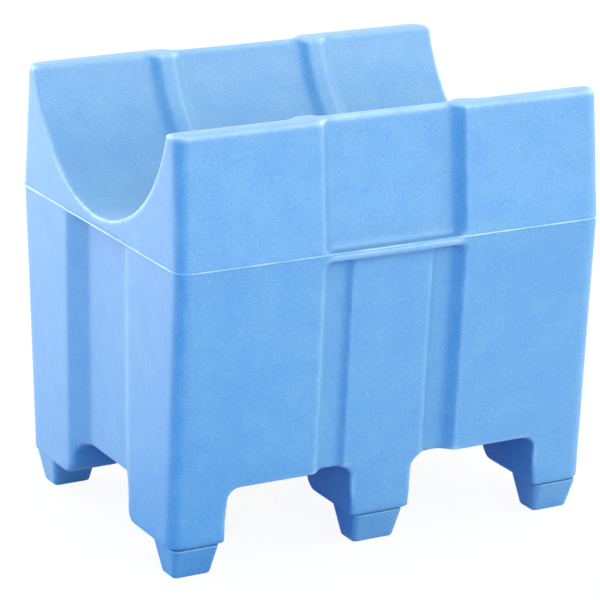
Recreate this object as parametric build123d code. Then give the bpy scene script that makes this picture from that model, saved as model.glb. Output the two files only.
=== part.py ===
"""Hollow moulded block: a U-shaped cradle between two long walls, on six stub legs.

X runs along the block, Y across it, Z up. The origin is at the bottom centre, on the plane
that the feet stand on. Each piece is a separate solid, written to its own STEP file.
"""
import os
from math import hypot
from build123d import *

# overall sizes, mm
block_length = 500.0        # at the seam, where the block is longest
block_width = 400.0         # at the seam, where the block is widest
foot_height = 35.0
base_height = 302.0         # from the leg bottoms up to the seam
wall_height = 138.0         # from the seam up to the wall tops
skin = 5.0                  # thickness of the moulded walls
corner_radius = 16.0        # upright corners of the block

leg_bottom_z = foot_height
seam_z = leg_bottom_z + base_height
wall_top_z = seam_z + wall_height

# leans of the outer faces, measured on one side
end_lean = 2.5              # ends, from the seam up to the wall tops
wall_lean = 11.0            # long walls, from the seam up to the wall tops
base_lean = 20.0            # long sides, from the seam down to the leg bottoms
top_edge_radius = 3.0
toe_edge_radius = 3.0       # edges round each leg bottom

# cradle
wall_top_width = 26.5       # flat top of each long wall
cradle_floor_rise = 13.0    # lowest point of the cradle above the seam
cradle_depth = wall_height - cradle_floor_rise
cradle_half_width = block_width / 2 - wall_lean - wall_top_width
cradle_radius = (cradle_half_width**2 + cradle_depth**2) / (2 * cradle_depth)

# the two hoops that stand in the cradle
hoop_centre_x = 92.0
hoop_top_length = 16.0
hoop_foot_length = 38.0
hoop_height = 8.0

# sunk panels and grooves
sink_depth = 13.0
sink_run = 12.5             # length of the slope from the face down to the sunk floor
panel_length = 168.0
rim_height = 10.0           # plain band left under the seam
middle_set_back = 7.0       # the middle leg's face behind the corner faces
middle_set_back_run = 1.0
middle_face_length = 80.0
end_corner_width = 122.0    # plain width beside each end's sunk panel
end_sink_run = 34.0
panel_half_length = panel_length / 2
middle_half_length = middle_face_length / 2
end_sink_half_width = block_width / 2 - end_corner_width

# legs
corner_leg_length = 66.0    # along the block, where the leg meets the underside
middle_leg_length = 76.0
leg_width = 110.0           # across the block, at the leg bottoms
leg_drop = 59.0             # from the underside down to the leg bottoms
leg_side_draft = 3.0
leg_root_radius = 12.0
arch_rise = 41.0            # from the leg bottoms up to the arch between a pair of legs
arch_root_radius = 20.0
arch_toe_radius = 20.0
underside_z = leg_bottom_z + leg_drop
arch_top_z = leg_bottom_z + arch_rise
corner_leg_inner_x = block_length / 2 - corner_leg_length
middle_leg_half_length = middle_leg_length / 2
arch_half_width = block_width / 2 - base_lean - leg_width

# feet
foot_top_length = 54.0
foot_top_width = 55.0
foot_sole_length = 43.0
foot_sole_width = 29.0
foot_top_radius = 8.0
foot_sole_radius = 5.0
middle_foot_extra = 6.0     # the middle feet are this much longer than the corner ones
foot_step = 1.0             # shoulder left between a leg's outer face and its foot
foot_edge_radius = 3.0
foot_sole_thickness = 8.0
spigot_length = 34.0
spigot_width = 28.0
spigot_radius = 6.0
spigot_wall = 4.0
spigot_reach = 18.0         # above the leg bottom
spigot_clearance = 0.2
bore_radius = 3.0
barb_depth = 1.5
corner_foot_x = (block_length / 2 + corner_leg_inner_x + leg_side_draft) / 2
corner_foot_y = block_width / 2 - base_lean - foot_step - foot_top_width / 2
middle_foot_y = corner_foot_y - middle_set_back

# seam and vent
bead_height = 2.4
bead_proud = 1.0
bead_inside = 1.5
vent_radius = 6.0
vent_clearance = 0.1
vent_flange_radius = 10.0
vent_flange_thickness = 2.0
vent_lip = 0.8
vent_lip_height = 3.0

overrun = 20.0              # how far a cutting shape runs past the face it opens
same_place = 0.01           # two edges closer than this lie at the same height or width


def half_width(z):
    """Half the block's width at height z."""
    if z > seam_z:
        return block_width / 2 - wall_lean * (z - seam_z) / (wall_top_z - seam_z)
    return block_width / 2 - base_lean * (seam_z - z) / (seam_z - leg_bottom_z)


def half_length(z):
    """Half the block's length at height z."""
    if z > seam_z:
        return block_length / 2 - end_lean * (z - seam_z) / (wall_top_z - seam_z)
    return block_length / 2


def outline(z, inset):
    """The block's rounded plan at height z, moved in by inset."""
    length = 2 * (half_length(z) - inset)
    width = 2 * (half_width(z) - inset)
    return Plane.XY.offset(z) * RectangleRounded(length, width, corner_radius - inset)


def envelope(inset):
    """The block without its hollows: two tapers that meet at the seam."""
    base = loft([outline(leg_bottom_z + inset, inset), outline(seam_z, inset)], ruled=True)
    crown = loft([outline(seam_z, inset), outline(wall_top_z - inset, inset)], ruled=True)
    return base + crown


def flank_shift(run, depth, inset):
    """How far the top line of a sloping flank moves when the whole surface moves in by inset."""
    slope = run / depth
    return inset * (hypot(1, slope) - slope)


def sunk_plan(z, start, end, depth, run, inset, face):
    """Plan of a sunk panel on the -Y side, from x = start to x = end, at height z."""
    shift = flank_shift(run, depth, inset)
    y = -face(z) + inset
    back = overrun * run / depth
    corners = [
        (start - shift - back, y - overrun),
        (start - shift + run, y + depth),
        (end + shift - run, y + depth),
        (end + shift + back, y - overrun),
    ]
    return Plane.XY.offset(z) * make_face(Polyline(*corners, close=True))


def sunk_panel(start, end, low, high, inset, depth=sink_depth, run=sink_run, face=half_width):
    """Cutting shape of a sunk panel that follows the lean of the -Y face."""
    plans = [sunk_plan(z, start, end, depth, run, inset, face) for z in (low, high)]
    return loft(plans, ruled=True)


def both_sides(shape):
    return [shape, mirror(shape, about=Plane.XZ)]


def wall_panels(inset):
    """The panel in the middle of each long wall, open at the top."""
    low = seam_z - inset
    panel = sunk_panel(-panel_half_length, panel_half_length, seam_z, wall_top_z + overrun, inset)
    if inset:
        sill = sunk_panel(-panel_half_length, panel_half_length, low, seam_z, inset,
                          face=lambda z: block_width / 2)
        return both_sides(panel) + both_sides(sill)
    return both_sides(panel)


def side_grooves(inset):
    """Two grooves beside the middle leg, and the set-back of its face between them."""
    high = seam_z - rim_height + inset
    low = leg_bottom_z - overrun
    floor_start = -panel_half_length
    left = sunk_panel(floor_start, -middle_half_length, low, high, inset)
    right = mirror(left, about=Plane.YZ)
    middle = sunk_panel(-middle_half_length - sink_run, middle_half_length + sink_run, low, high,
                        inset, depth=middle_set_back, run=middle_set_back_run)
    return both_sides(left) + both_sides(right) + both_sides(middle)


def end_sinks(inset):
    """The sunk panel under the seam on each end."""
    low = leg_bottom_z - overrun
    high = seam_z + inset
    sink = sunk_panel(-end_sink_half_width, end_sink_half_width, low, high, inset,
                      run=end_sink_run, face=lambda z: block_length / 2)
    near = sink.rotate(Axis.Z, 90)
    return [near, mirror(near, about=Plane.YZ)]


def cradle_cut(inset):
    """The round cradle, and the two hoops left standing in it."""
    centre_z = seam_z + cradle_floor_rise + cradle_radius
    end_plane = Plane.YZ.offset(-block_length / 2 - overrun)
    length = block_length + 2 * overrun
    trough = extrude(end_plane * Pos(0, centre_z) * Circle(cradle_radius + inset), length)
    shift = flank_shift((hoop_foot_length - hoop_top_length) / 2, hoop_height, inset)
    top_x = hoop_top_length / 2 - shift
    foot_x = hoop_foot_length / 2 - shift
    top_radius = cradle_radius - hoop_height + inset
    foot_radius = cradle_radius + inset
    outer = foot_radius + overrun
    section = Polyline((-foot_x, outer), (-foot_x, foot_radius), (-top_x, top_radius),
                       (top_x, top_radius), (foot_x, foot_radius), (foot_x, outer), close=True)
    for x in (-hoop_centre_x, hoop_centre_x):
        plane = Plane((x, 0, centre_z), x_dir=(1, 0, 0), z_dir=(0, -1, 0))
        trough -= revolve(plane * make_face(section), Axis((x, 0, centre_z), (1, 0, 0)))
    return [trough]


def leg_gap(inset):
    """The gap between a corner leg and the middle leg, right through the block."""
    inner = middle_leg_half_length - inset
    outer = corner_leg_inner_x + inset
    top = underside_z + inset
    low = leg_bottom_z - overrun
    draft = leg_side_draft * (underside_z - low) / (underside_z - leg_bottom_z)
    corners = [(inner, top), (outer, top), (outer + draft, low), (inner - draft, low)]
    face = make_face(Polyline(*corners, close=True))
    crown = face.vertices().sort_by(Axis.Y)[-2:]
    face = fillet(crown, leg_root_radius + inset)
    gap = extrude(Plane.XZ.offset(-block_width / 2 - overrun) * face, block_width + 2 * overrun)
    return [gap, mirror(gap, about=Plane.YZ)]


def arch(inset):
    """The arch between the two legs of each pair, along the whole block."""
    side = arch_half_width + inset
    root = arch_root_radius + inset
    toe = arch_toe_radius - inset
    top = arch_top_z + inset
    toe_z = leg_bottom_z + arch_toe_radius
    shoulder = leg_bottom_z + inset
    low = leg_bottom_z - overrun
    right = [
        Line((0, top), (side - root, top)),
        CenterArc((side - root, top - root), root, 0, 90),
        Line((side, top - root), (side, toe_z)),
        CenterArc((side + toe, toe_z), toe, 180, 90),
        Line((side + toe, shoulder), (side + toe, low)),
        Line((side + toe, low), (0, low)),
        Line((0, low), (0, top)),
    ]
    half = make_face(Wire(right))
    cut = extrude(Plane.YZ.offset(-block_length / 2 - overrun) * half, block_length + 2 * overrun)
    return [cut, mirror(cut, about=Plane.XZ)]


def hollowed(inset):
    """The block's form with every surface moved in by inset."""
    cuts = (cradle_cut(inset) + wall_panels(inset) + side_grooves(inset) + end_sinks(inset)
            + leg_gap(inset) + arch(inset))
    form = envelope(inset)
    for cut in cuts:
        form -= cut
    return form


def level_edge(edge, z):
    """True for an edge that lies in the level plane at height z."""
    box = edge.bounding_box()
    return abs(box.min.Z - z) < same_place and abs(box.max.Z - z) < same_place


def sharp_toe(edge):
    """True for a leg bottom's edge, except where the arch already runs into it smoothly."""
    smooth_y = arch_half_width + arch_toe_radius
    return level_edge(edge, leg_bottom_z) and abs(abs(edge.center().Y) - smooth_y) > same_place


def eased(form):
    """The outer form with its wall tops and leg bottoms rounded."""
    form = fillet(form.edges().filter_by(lambda e: level_edge(e, wall_top_z)), top_edge_radius)
    return fillet(form.edges().filter_by(sharp_toe), toe_edge_radius)


def plan(length, width, radius, z):
    return Plane.XY.offset(z) * RectangleRounded(length, width, radius)


def seam_ring():
    """The weld bead round the seam, let into the edges of both shells."""
    low = seam_z - bead_height / 2
    length = block_length + 2 * bead_proud
    width = block_width + 2 * bead_proud
    across = 2 * (bead_proud + bead_inside)
    ring = extrude(plan(length, width, corner_radius + bead_proud, low), bead_height)
    hole = plan(length - across, width - across, corner_radius - bead_inside, low)
    return ring - extrude(hole, bead_height)


def foot_places():
    """Name, x, y and extra length of each foot."""
    columns = {
        "left": (-corner_foot_x, corner_foot_y, 0.0),
        "middle": (0.0, middle_foot_y, middle_foot_extra),
        "right": (corner_foot_x, corner_foot_y, 0.0),
    }
    rows = {"front": -1, "rear": 1}
    return [(f"foot_{row}_{column}", x, side * y, extra)
            for row, side in rows.items() for column, (x, y, extra) in columns.items()]


def spigot_block(low, high, clearance):
    """The foot's spigot between two heights, smaller than its socket by clearance."""
    length = spigot_length - 2 * clearance
    width = spigot_width - 2 * clearance
    return extrude(plan(length, width, spigot_radius - clearance, low), high - low)


def barb():
    """The snap barb on top of the spigot, wider than the socket at its underside."""
    low = leg_bottom_z + skin + spigot_clearance
    wide = plan(spigot_length + 2 * barb_depth, spigot_width + 2 * barb_depth, spigot_radius, low)
    narrow = plan(spigot_length - barb_depth, spigot_width - barb_depth, spigot_radius,
                  leg_bottom_z + spigot_reach)
    return loft([wide, narrow], ruled=True)


def foot(extra):
    """A stub foot with a hollow snap-in spigot, longer than a corner foot by extra."""
    sole = plan(foot_sole_length + extra, foot_sole_width, foot_sole_radius, 0)
    top = plan(foot_top_length + extra, foot_top_width, foot_top_radius, foot_height)
    stub = loft([sole, top], ruled=True)
    stub = fillet(stub.edges().filter_by(lambda e: level_edge(e, 0)), foot_edge_radius)
    stub += spigot_block(foot_height, leg_bottom_z + skin + barb_depth, spigot_clearance)
    stub += barb()
    bore_length = spigot_length - 2 * spigot_wall
    bore = plan(bore_length, spigot_width - 2 * spigot_wall, bore_radius, foot_height)
    pit = plan(bore_length, foot_sole_width - 2 * spigot_wall, bore_radius, foot_sole_thickness)
    return stub - extrude(bore, spigot_reach + overrun) - loft([pit, bore], ruled=True)


def vent_hole():
    """The vent in the middle arch, under the block's centre."""
    return Pos(0, 0, arch_top_z + skin / 2) * Cylinder(vent_radius, 2 * skin)


def vent_plug():
    """The plug of the vent: a flange below the skin, a stem, and a lip above it."""
    stem_radius = vent_radius - vent_clearance
    lip_z = arch_top_z + skin + vent_clearance
    lip_radius = vent_radius + vent_lip
    profile = Polyline(
        (0, arch_top_z - vent_flange_thickness),
        (vent_flange_radius, arch_top_z - vent_flange_thickness),
        (vent_flange_radius, arch_top_z),
        (stem_radius, arch_top_z),
        (stem_radius, lip_z),
        (lip_radius, lip_z),
        (stem_radius - vent_lip, lip_z + vent_lip_height),
        (0, lip_z + vent_lip_height),
        close=True)
    return revolve(Plane.XZ * make_face(profile), Axis.Z)


def shells():
    """The two mouldings: the cradle above the seam and the base below it."""
    moulding = eased(hollowed(0)) - hollowed(skin) - seam_ring()
    size = 2 * (block_length + block_width + wall_top_z)
    above = Pos(0, 0, seam_z + size / 2) * Box(size, size, size)
    cradle = moulding & above
    base = moulding - above - vent_hole()
    socket = spigot_block(leg_bottom_z - overrun, leg_bottom_z + spigot_reach, 0.0)
    for _, x, y, _ in foot_places():
        base -= Pos(x, y, 0) * socket
    return cradle, base


def main():
    os.makedirs("parts", exist_ok=True)
    cradle, base = shells()
    pieces = {
        "cradle_shell": cradle,
        "base_shell": base,
        "seam_bead": seam_ring(),
        "vent_plug": vent_plug(),
    }
    for name, x, y, extra in foot_places():
        pieces[name] = Pos(x, y, 0) * foot(extra)
    for name, shape in pieces.items():
        export_step(shape, f"parts/{name}.step")


if __name__ == "__main__":
    main()
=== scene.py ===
import bmesh
import bpy
import math
import numpy as np
from mathutils import Matrix, Vector, noise


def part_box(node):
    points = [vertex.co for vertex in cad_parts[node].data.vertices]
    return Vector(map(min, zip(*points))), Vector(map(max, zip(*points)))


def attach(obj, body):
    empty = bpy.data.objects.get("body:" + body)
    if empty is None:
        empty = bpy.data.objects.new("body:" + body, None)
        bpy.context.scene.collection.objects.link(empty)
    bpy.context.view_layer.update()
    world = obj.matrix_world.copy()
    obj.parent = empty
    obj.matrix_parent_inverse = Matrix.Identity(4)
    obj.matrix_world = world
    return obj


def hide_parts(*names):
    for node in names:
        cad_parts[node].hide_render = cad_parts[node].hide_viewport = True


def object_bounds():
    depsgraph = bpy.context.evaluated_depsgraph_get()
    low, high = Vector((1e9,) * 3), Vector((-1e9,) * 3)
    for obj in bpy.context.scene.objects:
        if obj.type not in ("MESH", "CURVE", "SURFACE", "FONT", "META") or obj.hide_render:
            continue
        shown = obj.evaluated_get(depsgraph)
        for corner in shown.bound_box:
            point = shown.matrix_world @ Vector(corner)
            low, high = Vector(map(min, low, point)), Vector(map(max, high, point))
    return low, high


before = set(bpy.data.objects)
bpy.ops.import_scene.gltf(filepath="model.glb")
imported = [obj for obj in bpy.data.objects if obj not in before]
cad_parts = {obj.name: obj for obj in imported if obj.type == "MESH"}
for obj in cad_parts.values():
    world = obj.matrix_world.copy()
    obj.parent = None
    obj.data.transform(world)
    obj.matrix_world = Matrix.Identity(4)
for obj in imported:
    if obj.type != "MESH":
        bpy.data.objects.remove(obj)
cadLow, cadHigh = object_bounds()
centre = (cadLow + cadHigh) / 2
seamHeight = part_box("cradle_shell")[0].z
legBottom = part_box("base_shell")[0].z
print("frame loaded, CAD box", [round(v, 4) for v in (*cadLow, *cadHigh)])


cameraLook = {
    "azimuth": -28.3,       # degrees round the block, 0 looks along +Y
    "elevation": 17.2,
    "roll": 0.7,
    "distance": 3.27,
    "lens": 180.0,
    "aimOffset": (-0.007, -0.001, -0.013),   # from the middle of the block
}


def directionFrom(azimuth, elevation):
    a, e = math.radians(azimuth), math.radians(elevation)
    return Vector((math.sin(a) * math.cos(e), -math.cos(a) * math.cos(e), math.sin(e)))


def makeCamera(look):
    back = directionFrom(look["azimuth"], look["elevation"])
    data = bpy.data.cameras.new("studioCamera")
    camera = bpy.data.objects.new("studioCamera", data)
    bpy.context.scene.collection.objects.link(camera)
    data.lens = look["lens"]
    data.sensor_width = 36.0
    data.clip_end = 50.0
    camera.rotation_mode = "QUATERNION"
    facing = (-back).to_track_quat("-Z", "Y")
    tilt = Matrix.Rotation(math.radians(look["roll"]), 3, back)
    camera.rotation_quaternion = (tilt @ facing.to_matrix()).to_quaternion()
    camera.location = centre + Vector(look["aimOffset"]) + back * look["distance"]
    bpy.context.scene.camera = camera


makeCamera(cameraLook)
print("camera placed")


studio = {
    "floorSize": 40.0,
    "floorGlow": 0.92,                     # lifts the floor that is seen to white
    "floorSeen": (0.07, 0.07, 0.07),       # how strongly shadows show on it
    "floorMirrored": (0.95, 0.95, 0.95),   # what the plastic's shine reflects
    "floorBounce": (0.20, 0.33, 0.54),     # what it throws back up at the block
    "paintedShadowFloor": (0.01, 0.10, 1.0),   # painted blue shadow in place of both, under the block
    "paintedShadowSpan": (0.50, 0.86),               # the painted shadow fades from under the block to open floor, in half sizes
    "worldColour": (0.96, 0.985, 0.975),
    "worldStrength": 3.45,
    "darkSideAzimuth": -57,                # the side of the studio with the least light
    "darkSideSpread": (0.42, 0.95),        # cosines, from its rim to its full depth
    "darkSideColour": (0.22, 0.44, 0.76),
    "dimTop": (0.1, 0.85, 0.5),            # from and to this height in the sky, and by how much
    "dimBackAzimuth": 165,
    "dimBackSpread": (0.45, 0.95),
    "dimBackAmount": 0.55,
    # name: (azimuth, elevation, distance, size, watts)
    "lamps": {
        "backSoftbox": (-150, 16, 2.6, 1.4, 38),
        "rightSoftbox": (38, 34, 2.2, 1.4, 8),
        "frontSoftbox": (-5, 30, 2.6, 1.4, 10),
    },
}


def feed(tree, socket, value):
    # value is another node's output, or a plain number or colour
    if hasattr(value, "is_linked"):
        tree.links.new(value, socket)
    else:
        socket.default_value = value


def mathNode(tree, operation, first, second, clamp=False):
    node = tree.nodes.new("ShaderNodeMath")
    node.operation = operation
    node.use_clamp = clamp
    feed(tree, node.inputs[0], first)
    feed(tree, node.inputs[1], second)
    return node.outputs[0]


def blendColour(tree, factor, first, second):
    node = tree.nodes.new("ShaderNodeMix")
    node.data_type = "RGBA"
    feed(tree, node.inputs[0], factor)
    feed(tree, node.inputs[6], first)
    feed(tree, node.inputs[7], second)
    return node.outputs[2]


def vectorNode(tree, operation, first, second=None):
    node = tree.nodes.new("ShaderNodeVectorMath")
    node.operation = operation
    tree.links.new(first, node.inputs[0])
    if second is not None:
        node.inputs[1].default_value = second
    return node.outputs


def splitAxes(tree, vector):
    node = tree.nodes.new("ShaderNodeSeparateXYZ")
    tree.links.new(vector, node.inputs[0])
    return node.outputs


def rampBetween(tree, value, low, high):
    # 0 up to low, 1 from high
    node = tree.nodes.new("ShaderNodeMapRange")
    node.interpolation_type = "SMOOTHSTEP"
    feed(tree, node.inputs["Value"], value)
    node.inputs["From Min"].default_value = low
    node.inputs["From Max"].default_value = high
    return node.outputs[0]


def sideMask(tree, direction, azimuth, spread):
    # 1 in level directions near this azimuth, 0 elsewhere
    level = vectorNode(tree, "MULTIPLY", direction, (1, 1, 0))["Vector"]
    unit = vectorNode(tree, "NORMALIZE", level)["Vector"]
    facing = vectorNode(tree, "DOT_PRODUCT", unit, directionFrom(azimuth, 0))["Value"]
    return rampBetween(tree, facing, *spread)


def floorMaterial(look):
    # white where the camera sees it, tinted in what it throws back and in what the plastic mirrors,
    # with a painted shadow under the block
    material = bpy.data.materials.new("studioFloor")
    material.use_nodes = True
    tree = material.node_tree
    shader = tree.nodes["Principled BSDF"]
    path = tree.nodes.new("ShaderNodeLightPath").outputs
    place = tree.nodes.new("ShaderNodeTexCoord").outputs["Object"]
    share = vectorNode(tree, "DIVIDE", place, (cadHigh.x, cadHigh.y, 1))["Vector"]
    axes = splitAxes(tree, vectorNode(tree, "ABSOLUTE", share)["Vector"])
    away = mathNode(tree, "MAXIMUM", axes["X"], axes["Y"])
    side = sideMask(tree, place, look["darkSideAzimuth"], look["darkSideSpread"])
    mirrored = blendColour(tree, side, (*look["floorMirrored"], 1), (*look["darkSideColour"], 1))
    bounce = blendColour(tree, path["Is Glossy Ray"], (*look["floorBounce"], 1), mirrored)
    # painted blue shadow under the block, in what the floor throws back and mirrors
    openFloor = rampBetween(tree, away, *look["paintedShadowSpan"])
    bounce = blendColour(tree, openFloor, (*look["paintedShadowFloor"], 1), bounce)
    shade = blendColour(tree, path["Is Camera Ray"], bounce, (*look["floorSeen"], 1))
    glow = mathNode(tree, "MULTIPLY", path["Is Camera Ray"], look["floorGlow"])
    tree.links.new(shade, shader.inputs["Base Color"])
    tree.links.new(glow, shader.inputs["Emission Strength"])
    shader.inputs["Emission Color"].default_value = (1, 1, 1, 1)
    shader.inputs["Roughness"].default_value = 0.9
    shader.inputs["Specular IOR Level"].default_value = 0.0
    return material


def makeFloor(look):
    mesh = bpy.data.meshes.new("studioFloor")
    half = look["floorSize"] / 2
    corners = [(-half, -half, 0), (half, -half, 0), (half, half, 0), (-half, half, 0)]
    mesh.from_pydata(corners, [], [(0, 1, 2, 3)])
    floor = bpy.data.objects.new("studioFloor", mesh)
    bpy.context.scene.collection.objects.link(floor)
    mesh.materials.append(floorMaterial(look))


def makeWorld(look):
    # seen by the camera it is white; its light is weaker overhead and behind, and blue on the dark side
    world = bpy.data.worlds.new("studioWorld")
    world.use_nodes = True
    tree = world.node_tree
    sky = tree.nodes["Background"]
    isSeen = tree.nodes.new("ShaderNodeLightPath").outputs["Is Camera Ray"]
    direction = tree.nodes.new("ShaderNodeTexCoord").outputs["Generated"]
    pale = (*look["worldColour"], 1)
    side = sideMask(tree, direction, look["darkSideAzimuth"], look["darkSideSpread"])
    sides = blendColour(tree, side, pale, (*look["darkSideColour"], 1))
    tree.links.new(blendColour(tree, isSeen, sides, pale), sky.inputs["Color"])
    low, high, amount = look["dimTop"]
    height = splitAxes(tree, direction)["Z"]
    top = mathNode(tree, "MULTIPLY", rampBetween(tree, height, low, high), amount)
    back = sideMask(tree, direction, look["dimBackAzimuth"], look["dimBackSpread"])
    back = mathNode(tree, "MULTIPLY", back, look["dimBackAmount"])
    dim = mathNode(tree, "MAXIMUM", top, back)
    lit = mathNode(tree, "MAXIMUM", mathNode(tree, "SUBTRACT", 1.0, dim), isSeen)
    tree.links.new(mathNode(tree, "MULTIPLY", lit, look["worldStrength"]), sky.inputs["Strength"])
    bpy.context.scene.world = world


def makeLamps(look):
    for name, (azimuth, elevation, distance, size, watts) in look["lamps"].items():
        away = directionFrom(azimuth, elevation)
        data = bpy.data.lights.new(name, "AREA")
        data.shape = "SQUARE"
        data.size = size
        data.energy = watts
        lamp = bpy.data.objects.new(name, data)
        lamp.location = centre + away * distance
        lamp.rotation_mode = "QUATERNION"
        lamp.rotation_quaternion = (-away).to_track_quat("-Z", "Y")
        bpy.context.scene.collection.objects.link(lamp)


makeFloor(studio)
makeWorld(studio)
makeLamps(studio)
bpy.context.scene.view_settings.view_transform = "Standard"
print("floor and lights made")


def linkPiece(name, mesh, nodes):
    # a finished piece that stands for these CAD nodes
    piece = bpy.data.objects.new(name, mesh)
    bpy.context.scene.collection.objects.link(piece)
    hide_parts(*nodes)
    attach(piece, "root")
    return piece


def meshFrom(bm, name):
    mesh = bpy.data.meshes.new(name)
    bm.to_mesh(mesh)
    bm.free()
    return mesh


def remeshed(bm, name, voxel):
    # one even skin of small squares round everything in bm
    mesh = meshFrom(bm, name)
    rough = bpy.data.objects.new(name, mesh)
    bpy.context.scene.collection.objects.link(rough)
    skin = rough.modifiers.new("skin", "REMESH")
    skin.mode = "VOXEL"
    skin.voxel_size = voxel
    evaluated = rough.evaluated_get(bpy.context.evaluated_depsgraph_get())
    result = bpy.data.meshes.new_from_object(evaluated)
    bpy.data.objects.remove(rough)
    bpy.data.meshes.remove(mesh)
    return result


def readPoints(mesh):
    points = np.empty(len(mesh.vertices) * 3)
    mesh.vertices.foreach_get("co", points)
    return points.reshape(-1, 3)


def readNormals(mesh):
    normals = np.empty(len(mesh.vertices) * 3)
    mesh.vertices.foreach_get("normal", normals)
    return normals.reshape(-1, 3)


def readEdges(mesh):
    ends = np.empty(len(mesh.edges) * 2, dtype=np.int64)
    mesh.edges.foreach_get("vertices", ends)
    return ends.reshape(-1, 2)


def writePoints(mesh, points):
    mesh.vertices.foreach_set("co", points.ravel())
    mesh.update()


def neighbourMean(values, ends):
    count = len(values)
    total = np.empty_like(values)
    for column in range(values.shape[1]):
        total[:, column] = (np.bincount(ends[:, 0], values[ends[:, 1], column], count)
                            + np.bincount(ends[:, 1], values[ends[:, 0], column], count))
    return total / np.bincount(ends.ravel(), minlength=count)[:, None]


def soften(mesh, rounds):
    # each round rounds the edges a little more and leaves flat faces flat
    ends = readEdges(mesh)
    points = readPoints(mesh)
    for _ in range(rounds):
        points += 0.5 * (neighbourMean(points, ends) - points)
    writePoints(mesh, points)


def islandOf(ends, count, start):
    # True for every point that is joined to the start point
    label = np.arange(count)
    while True:
        fresh = label.copy()
        lowest = np.minimum(label[ends[:, 0]], label[ends[:, 1]])
        np.minimum.at(fresh, ends[:, 0], lowest)
        np.minimum.at(fresh, ends[:, 1], lowest)
        fresh = fresh[fresh]
        if np.array_equal(fresh, label):
            return label == label[start]
        label = fresh


def dropHollow(mesh):
    # keep the outside surface, not the closed hollow within it
    points = readPoints(mesh)
    kept = islandOf(readEdges(mesh), len(points), np.argmin(points[:, 0]))
    if kept.all():
        return
    bm = bmesh.new()
    bm.from_mesh(mesh)
    bm.verts.ensure_lookup_table()
    inner = [bm.verts[i] for i in np.flatnonzero(~kept)]
    bmesh.ops.delete(bm, geom=inner, context="VERTS")
    bm.to_mesh(mesh)
    bm.free()


def markEdges(mesh, reach, calm):
    # "edge" is 1 along outward corners and "hollow" along inward ones, less so low on the legs; they
    # carry the rubbing and painted highlight on corners and the painted shade in creases
    ends = readEdges(mesh)
    points = readPoints(mesh)
    bend = np.einsum("ij,ij->i", readNormals(mesh), points - neighbourMean(points, ends))[:, None]
    bend = 0.5 * bend + 0.5 * neighbourMean(bend, ends)
    fade = np.clip((points[:, 2] - legBottom) / calm, 0, 1)
    for name, sign in (("edge", 1), ("hollow", -1)):
        mask = np.clip(sign * bend[:, 0] / reach, 0, 1) * fade
        mesh.attributes.new(name, "FLOAT", "POINT").data.foreach_set("value", mask)


def loopPoint(t, halfLength, halfWidth, radius):
    # a point and its outward direction at distance t along a rounded rectangle
    straightX, straightY = 2 * (halfLength - radius), 2 * (halfWidth - radius)
    arc = math.pi / 2 * radius
    side = 0
    for length in (straightX, arc, straightY, arc, straightX, arc, straightY, arc):
        if t <= length or side == 7:
            break
        t -= length
        side += 1
    quarter, onArc = side // 2, side % 2
    corner = ((1, -1), (1, 1), (-1, 1), (-1, -1))[quarter]
    middle = Vector((corner[0] * (halfLength - radius), corner[1] * (halfWidth - radius)))
    facing = -math.pi / 2 + quarter * math.pi / 2
    if onArc:
        facing += t / radius
        out = Vector((math.cos(facing), math.sin(facing)))
        return middle + out * radius, out
    out = Vector((math.cos(facing), math.sin(facing)))
    along = Vector((-out.y, out.x))
    back = (straightX, straightY)[quarter % 2] - t
    return middle + out * radius - along * back, out


def sweepSeam(bm, look, section):
    # section(t) gives the (outward, upward) corners of the ring at distance t
    halfLength, halfWidth, radius = look["halfLength"], look["halfWidth"], look["cornerRadius"]
    around = 4 * (halfLength + halfWidth - 2 * radius) + 2 * math.pi * radius
    count = round(around / look["step"])
    rings = []
    for i in range(count):
        t = around * i / count
        point, out = loopPoint(t, halfLength, halfWidth, radius)
        rings.append([bm.verts.new((point.x + out.x * o, point.y + out.y * o, seamHeight + u))
                      for o, u in section(t)])
    for i, ring in enumerate(rings):
        after = rings[(i + 1) % count]
        for j in range(len(ring)):
            k = (j + 1) % len(ring)
            bm.faces.new((ring[j], after[j], after[k], ring[k]))


seamFlash = {
    "halfLength": cadHigh.x - 0.001,     # the mouldings' outline, without the flash
    "halfWidth": cadHigh.y - 0.001,
    "cornerRadius": 0.016,
    "step": 0.002,
    "proud": (0.00025, 0.00095),         # how far it stands out, where least and most
    "thick": (0.0009, 0.0017),
    "root": 0.003,                       # how far it reaches back into the seam
    "strength": (0.5, 0.9),              # the middle level and how far it swings
    "patchLength": 0.045,                # metres, from one strong patch to the next
    "ragged": (0.12, 0.004),             # how much the edge tears, and how long a tear is
    "lip": ((0.3, 1.0), (0.8, 0.6)),     # shares of how far it is proud and of half its thickness
    "seed": 11.3,
}


def flashSection(look):
    def section(t):
        middle, swing = look["strength"]
        tear, tearLength = look["ragged"]
        strong = middle + swing * noise.noise(Vector((t / look["patchLength"], look["seed"], 0)))
        ragged = tear * noise.noise(Vector((t / tearLength, 0, look["seed"])))
        level = min(max(strong + ragged, 0.0), 1.0)
        proud = look["proud"][0] + level * (look["proud"][1] - look["proud"][0])
        half = (look["thick"][0] + level * (look["thick"][1] - look["thick"][0])) / 2
        upper = [(out * proud, up * half) for out, up in look["lip"]]
        lower = [(out, -up) for out, up in upper]
        return ((-look["root"], -half), *lower, (proud, 0), *reversed(upper), (-look["root"], half))
    return section


def addBlock(bm, middle, size):
    place = Matrix.Translation(middle) @ Matrix.Diagonal((*size, 1))
    bmesh.ops.create_cube(bm, size=1, matrix=place)


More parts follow.
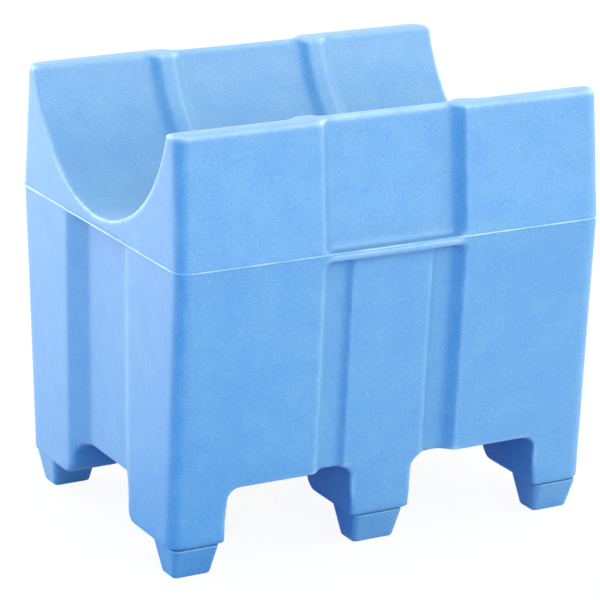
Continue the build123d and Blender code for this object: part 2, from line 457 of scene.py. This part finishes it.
footNames = sorted(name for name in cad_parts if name.startswith("foot_"))
ventPlug = {
    "flange": 0.002,
    "colour": (0.030, 0.228, 0.258),   # out of sight under the block
    "paleColour": (0.44, 0.46, 0.47),
    "roughness": 0.5,
    "sheen": 0.1,
}
moulding = {
    "voxel": 0.0029,
    "softening": 4,
    "waviness": 0.0011,       # metres, how far the flat faces stand in at most
    "waveLength": 0.16,
    "calmHeight": 0.03,       # over this much above the leg bottoms the waves die out
    "cutLift": 0.0006,        # the ledge under each wall panel stays on the lower moulding
    "edgeReach": 0.00035,
    "skinThickness": 0.005,
    "socketSize": (0.038, 0.032),
    "seamFill": (0.004, 0.0016),   # depth and half height of the strip that closes the seam
}


def mouldingSkin(look):
    # both mouldings as one skin, with the seam, the vent and the foot sockets closed
    bm = bmesh.new()
    for name in ("cradle_shell", "base_shell"):
        bm.from_mesh(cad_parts[name].data)
    deep, half = look["seamFill"]
    flush = ((-deep, -half), (0, -half), (0, half), (-deep, half))
    sweepSeam(bm, seamFlash, lambda t: flush)
    plugLow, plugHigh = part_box("vent_plug")
    archTop = plugLow.z + ventPlug["flange"]
    thick = look["skinThickness"]
    plugSize = plugHigh - plugLow
    plugMiddle = (plugLow + plugHigh) / 2
    addBlock(bm, (*plugMiddle.xy, archTop + thick / 2), (plugSize.x, plugSize.y, thick))
    for name in footNames:
        low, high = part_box(name)
        addBlock(bm, (*((low + high) / 2).xy, legBottom + thick / 2), (*look["socketSize"], thick))
    mesh = remeshed(bm, "mouldingSkin", look["voxel"])
    dropHollow(mesh)
    soften(mesh, look["softening"])
    addWaves(mesh, look)
    markEdges(mesh, look["edgeReach"], moulding["calmHeight"])
    return mesh


def addWaves(mesh, look):
    # large flat faces of a cooled moulding are never quite true
    points = readPoints(mesh)
    normals = readNormals(mesh)
    wave = np.array([noise.noise(Vector(p) / look["waveLength"]) for p in points])
    depth = look["waviness"] * (0.5 + 0.5 * wave)
    rise = (points[:, 2] - legBottom) / look["calmHeight"]
    points -= normals * (depth * np.clip(rise, 0, 1))[:, None]
    writePoints(mesh, points)


def halfOf(mesh, name, height, above):
    # the part of the skin above or below the seam, closed by a flat lid
    bm = bmesh.new()
    bm.from_mesh(mesh)
    everything = bm.verts[:] + bm.edges[:] + bm.faces[:]
    bmesh.ops.bisect_plane(bm, geom=everything, plane_co=(0, 0, height), plane_no=(0, 0, 1),
                           clear_inner=above, clear_outer=not above)
    rim = [e for e in bm.edges if e.is_boundary]
    for face in bm.faces:
        face.smooth = True
    bmesh.ops.contextual_create(bm, geom=rim)
    for edge in rim:
        edge.smooth = False
    return meshFrom(bm, name)


def makeMouldings(look):
    skin = mouldingSkin(look)
    height = seamHeight + look["cutLift"]
    upper = linkPiece("cradleMoulding", halfOf(skin, "cradleMoulding", height, True),
                      ["cradle_shell"])
    lower = linkPiece("baseMoulding", halfOf(skin, "baseMoulding", height, False),
                      ["base_shell"])
    bpy.data.meshes.remove(skin)
    return upper, lower


def makeFlash(look):
    bm = bmesh.new()
    sweepSeam(bm, look, flashSection(look))
    for face in bm.faces:
        face.smooth = True
    bmesh.ops.recalc_face_normals(bm, faces=bm.faces[:])
    return linkPiece("seamFlash", meshFrom(bm, "seamFlash"), ["seam_bead"])


footStub = {
    "voxel": 0.0011,
    "softening": 4,
    "edgeReach": 0.00012,
}


def makeFoot(name, look):
    bm = bmesh.new()
    bm.from_mesh(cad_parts[name].data)
    mesh = remeshed(bm, name + "_stub", look["voxel"])
    soften(mesh, look["softening"])
    markEdges(mesh, look["edgeReach"], moulding["calmHeight"])
    mesh.polygons.foreach_set("use_smooth", [True] * len(mesh.polygons))
    return linkPiece(name + "_stub", mesh, [name])


cradle, base = makeMouldings(moulding)
print("mouldings made:", len(cradle.data.polygons), len(base.data.polygons), "faces")
flash = makeFlash(seamFlash)
feet = [makeFoot(name, footStub) for name in footNames]
print("seam flash and", len(feet), "feet made:", [len(f.data.polygons) for f in feet])


def newGroup(name, inputs, outputs):
    tree = bpy.data.node_groups.new(name, "ShaderNodeTree")
    for label, kind, value in inputs:
        socket = tree.interface.new_socket(label, in_out="INPUT", socket_type="NodeSocket" + kind)
        socket.default_value = value
    for label, kind in outputs:
        tree.interface.new_socket(label, in_out="OUTPUT", socket_type="NodeSocket" + kind)
    return tree, tree.nodes.new("NodeGroupInput").outputs, tree.nodes.new("NodeGroupOutput").inputs


def noiseAt(tree, size, detail):
    # noise with grains of about this size, in metres
    place = tree.nodes.new("ShaderNodeTexCoord").outputs["Object"]
    node = tree.nodes.new("ShaderNodeTexNoise")
    node.inputs["Detail"].default_value = detail
    tree.links.new(place, node.inputs["Vector"])
    tree.links.new(mathNode(tree, "DIVIDE", 1.0, size), node.inputs["Scale"])
    return node.outputs["Fac"]


powderCurve = {
    "speckFloor": 0.42,        # noise below this shows no speck
    "speckContrast": 3.0,
    "cloudFloor": 0.35,
    "cloudContrast": 2.5,
    "roughnessSpread": 0.25,
}


def aboveFloor(tree, value, floor, contrast):
    return mathNode(tree, "MULTIPLY", mathNode(tree, "SUBTRACT", value, floor), contrast, clamp=True)


def makePowderGroup(curve):
    # pale powder specks over soft clouds, as in plastic moulded from powder
    tree, given, out = newGroup("powderMottle", (
        ("Colour", "Color", (0.1, 0.3, 0.8, 1)), ("Pale Colour", "Color", (0.4, 0.6, 0.9, 1)),
        ("Speck Size", "Float", 0.0016), ("Speck Amount", "Float", 0.2),
        ("Cloud Size", "Float", 0.05), ("Cloud Amount", "Float", 0.2),
        ("Roughness", "Float", 0.45)),
        (("Colour", "Color"), ("Roughness", "Float")))
    specks = noiseAt(tree, given["Speck Size"], 3.0)
    clouds = noiseAt(tree, given["Cloud Size"], 4.0)
    sharpSpecks = aboveFloor(tree, specks, curve["speckFloor"], curve["speckContrast"])
    sharpClouds = aboveFloor(tree, clouds, curve["cloudFloor"], curve["cloudContrast"])
    pale = mathNode(tree, "ADD", mathNode(tree, "MULTIPLY", sharpSpecks, given["Speck Amount"]),
                    mathNode(tree, "MULTIPLY", sharpClouds, given["Cloud Amount"]), clamp=True)
    tree.links.new(blendColour(tree, pale, given["Colour"], given["Pale Colour"]), out["Colour"])
    spread = mathNode(tree, "SUBTRACT", specks, 0.5)
    spread = mathNode(tree, "MULTIPLY", spread, curve["roughnessSpread"])
    tree.links.new(mathNode(tree, "ADD", given["Roughness"], spread, clamp=True), out["Roughness"])
    return tree


rubAndHighlightCurve = {
    "patchLift": 0.35,         # higher leaves fewer gaps in the rubbing and painted highlight along an edge
    "edgePower": 2.0,          # higher keeps the rubbing and painted highlight nearer to the edge
}


def makeRubAndHighlightGroup(curve):
    # paler along outward corners, as rubbing and painted highlight, and darker in the inward ones, as
    # painted shade
    tree, given, out = newGroup("rubAndHighlightEdges", (
        ("Colour", "Color", (0.1, 0.3, 0.8, 1)), ("Rub And Highlight Colour", "Color", (0.6, 0.8, 1, 1)),
        ("Crease Shade Colour", "Color", (0.04, 0.2, 0.7, 1)), ("Rub And Highlight Amount", "Float", 0.3),
        ("Crease Shade Amount", "Float", 0.2), ("Patch Size", "Float", 0.02)),
        (("Colour", "Color"),))
    marks = {}
    for name in ("edge", "hollow"):
        node = tree.nodes.new("ShaderNodeAttribute")
        node.attribute_name = name
        marks[name] = node.outputs["Fac"]
    patches = noiseAt(tree, given["Patch Size"], 4.0)
    patches = mathNode(tree, "ADD", patches, curve["patchLift"], clamp=True)
    # pale rubbing and painted highlight along outward corners, in patches
    sharp = mathNode(tree, "POWER", marks["edge"], curve["edgePower"])
    rubAndHighlight = mathNode(tree, "MULTIPLY", sharp, patches)
    rubAndHighlight = mathNode(tree, "MULTIPLY", rubAndHighlight, given["Rub And Highlight Amount"], clamp=True)
    # painted shade in the inward corners
    deep = mathNode(tree, "MULTIPLY", marks["hollow"], given["Crease Shade Amount"], clamp=True)
    shaded = blendColour(tree, deep, given["Colour"], given["Crease Shade Colour"])
    tree.links.new(blendColour(tree, rubAndHighlight, shaded, given["Rub And Highlight Colour"]), out["Colour"])
    return tree


def makePeelGroup():
    # the faint orange peel and fine pits that the mould leaves, as a height
    tree, given, out = newGroup("orangePeel", (
        ("Peel Size", "Float", 0.007), ("Peel Depth", "Float", 0.6),
        ("Pit Size", "Float", 0.0012), ("Pit Depth", "Float", 0.4)),
        (("Height", "Float"),))
    peel = mathNode(tree, "MULTIPLY", noiseAt(tree, given["Peel Size"], 2.0), given["Peel Depth"])
    pits = mathNode(tree, "MULTIPLY", noiseAt(tree, given["Pit Size"], 1.0), given["Pit Depth"])
    tree.links.new(mathNode(tree, "ADD", peel, pits), out["Height"])
    return tree


powderMottle = makePowderGroup(powderCurve)
rubAndHighlightEdges = makeRubAndHighlightGroup(rubAndHighlightCurve)
orangePeel = makePeelGroup()


def placeGroup(tree, group, values):
    node = tree.nodes.new("ShaderNodeGroup")
    node.node_tree = group
    for label, value in values.items():
        feed(tree, node.inputs[label], value)
    return node.outputs


def mouldedPlastic(name, look):
    material = bpy.data.materials.new(name)
    material.use_nodes = True
    tree = material.node_tree
    shader = tree.nodes["Principled BSDF"]
    powder = placeGroup(tree, powderMottle, {
        "Colour": (*look["colour"], 1), "Pale Colour": (*look["paleColour"], 1),
        "Speck Size": look["speckSize"], "Speck Amount": look["speckAmount"],
        "Cloud Size": look["cloudSize"], "Cloud Amount": look["cloudAmount"],
        "Roughness": look["roughness"]})
    # paler outward corners are rubbing and painted highlight; darker inward corners are painted shade
    rubAndHighlight = placeGroup(tree, rubAndHighlightEdges, {
        "Colour": powder["Colour"], "Rub And Highlight Colour": (*look["rubAndHighlightColour"], 1),
        "Crease Shade Colour": (*look["creaseShadeColour"], 1), "Rub And Highlight Amount": look["rubAndHighlightAmount"],
        "Crease Shade Amount": look["creaseShadeAmount"], "Patch Size": look["patchSize"]})
    peel = placeGroup(tree, orangePeel, {
        "Peel Size": look["peelSize"], "Peel Depth": look["peelDepth"],
        "Pit Size": look["pitSize"], "Pit Depth": look["pitDepth"]})
    bump = tree.nodes.new("ShaderNodeBump")
    bump.inputs["Strength"].default_value = look["bumpStrength"]
    bump.inputs["Distance"].default_value = look["bumpDistance"]
    tree.links.new(peel["Height"], bump.inputs["Height"])
    tree.links.new(rubAndHighlight["Colour"], shader.inputs["Base Color"])
    tree.links.new(powder["Roughness"], shader.inputs["Roughness"])
    tree.links.new(bump.outputs["Normal"], shader.inputs["Normal"])
    shader.inputs["Specular IOR Level"].default_value = look["specular"]
    shader.inputs["Sheen Weight"].default_value = look["sheen"]
    shader.inputs["Sheen Roughness"].default_value = look["sheenRoughness"]
    return material


bluePlastic = {
    "colour": (0.034, 0.182, 0.375),
    "paleColour": (0.17, 0.37, 0.39),
    # pale colour of the rubbing and painted highlight on outward corners, and colour of the painted
    # shade in inward ones
    "rubAndHighlightColour": (0.42, 0.58, 0.64),
    "creaseShadeColour": (0.01, 0.13, 0.25),
    "speckSize": 0.0022,
    "speckAmount": 0.36,
    "cloudSize": 0.03,
    "cloudAmount": 0.16,
    "roughness": 0.5,
    "specular": 1.0,
    # strength of the rubbing and painted highlight, and of the painted shade in inward corners
    "rubAndHighlightAmount": 0.95,
    "creaseShadeAmount": 0.2,
    "patchSize": 0.02,
    "peelSize": 0.007,
    "peelDepth": 0.7,
    "pitSize": 0.0013,
    "pitDepth": 0.3,
    "bumpStrength": 0.35,
    "bumpDistance": 0.0008,
    "sheen": 0.15,
    "sheenRoughness": 0.5,
}
flashPlastic = bluePlastic | {
    "colour": (0.14, 0.34, 0.54),
    "paleColour": (0.42, 0.56, 0.66),
    "speckSize": 0.03,
    "speckAmount": 1.0,
    "roughness": 0.32,
    "bumpStrength": 0.15,
}
plugPlastic = bluePlastic | {
    "colour": ventPlug["colour"],
    "paleColour": ventPlug["paleColour"],
    "roughness": ventPlug["roughness"],
    "sheen": ventPlug["sheen"],
}
mouldedBlue = mouldedPlastic("mouldedBlue", bluePlastic)
for piece in (cradle, base, *feet):
    piece.data.materials.clear()
    piece.data.materials.append(mouldedBlue)
flash.data.materials.append(mouldedPlastic("paleFlash", flashPlastic))
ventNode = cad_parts["vent_plug"].data
ventNode.materials.clear()
ventNode.materials.append(mouldedPlastic("ventPlastic", plugPlastic))
print("materials assigned")
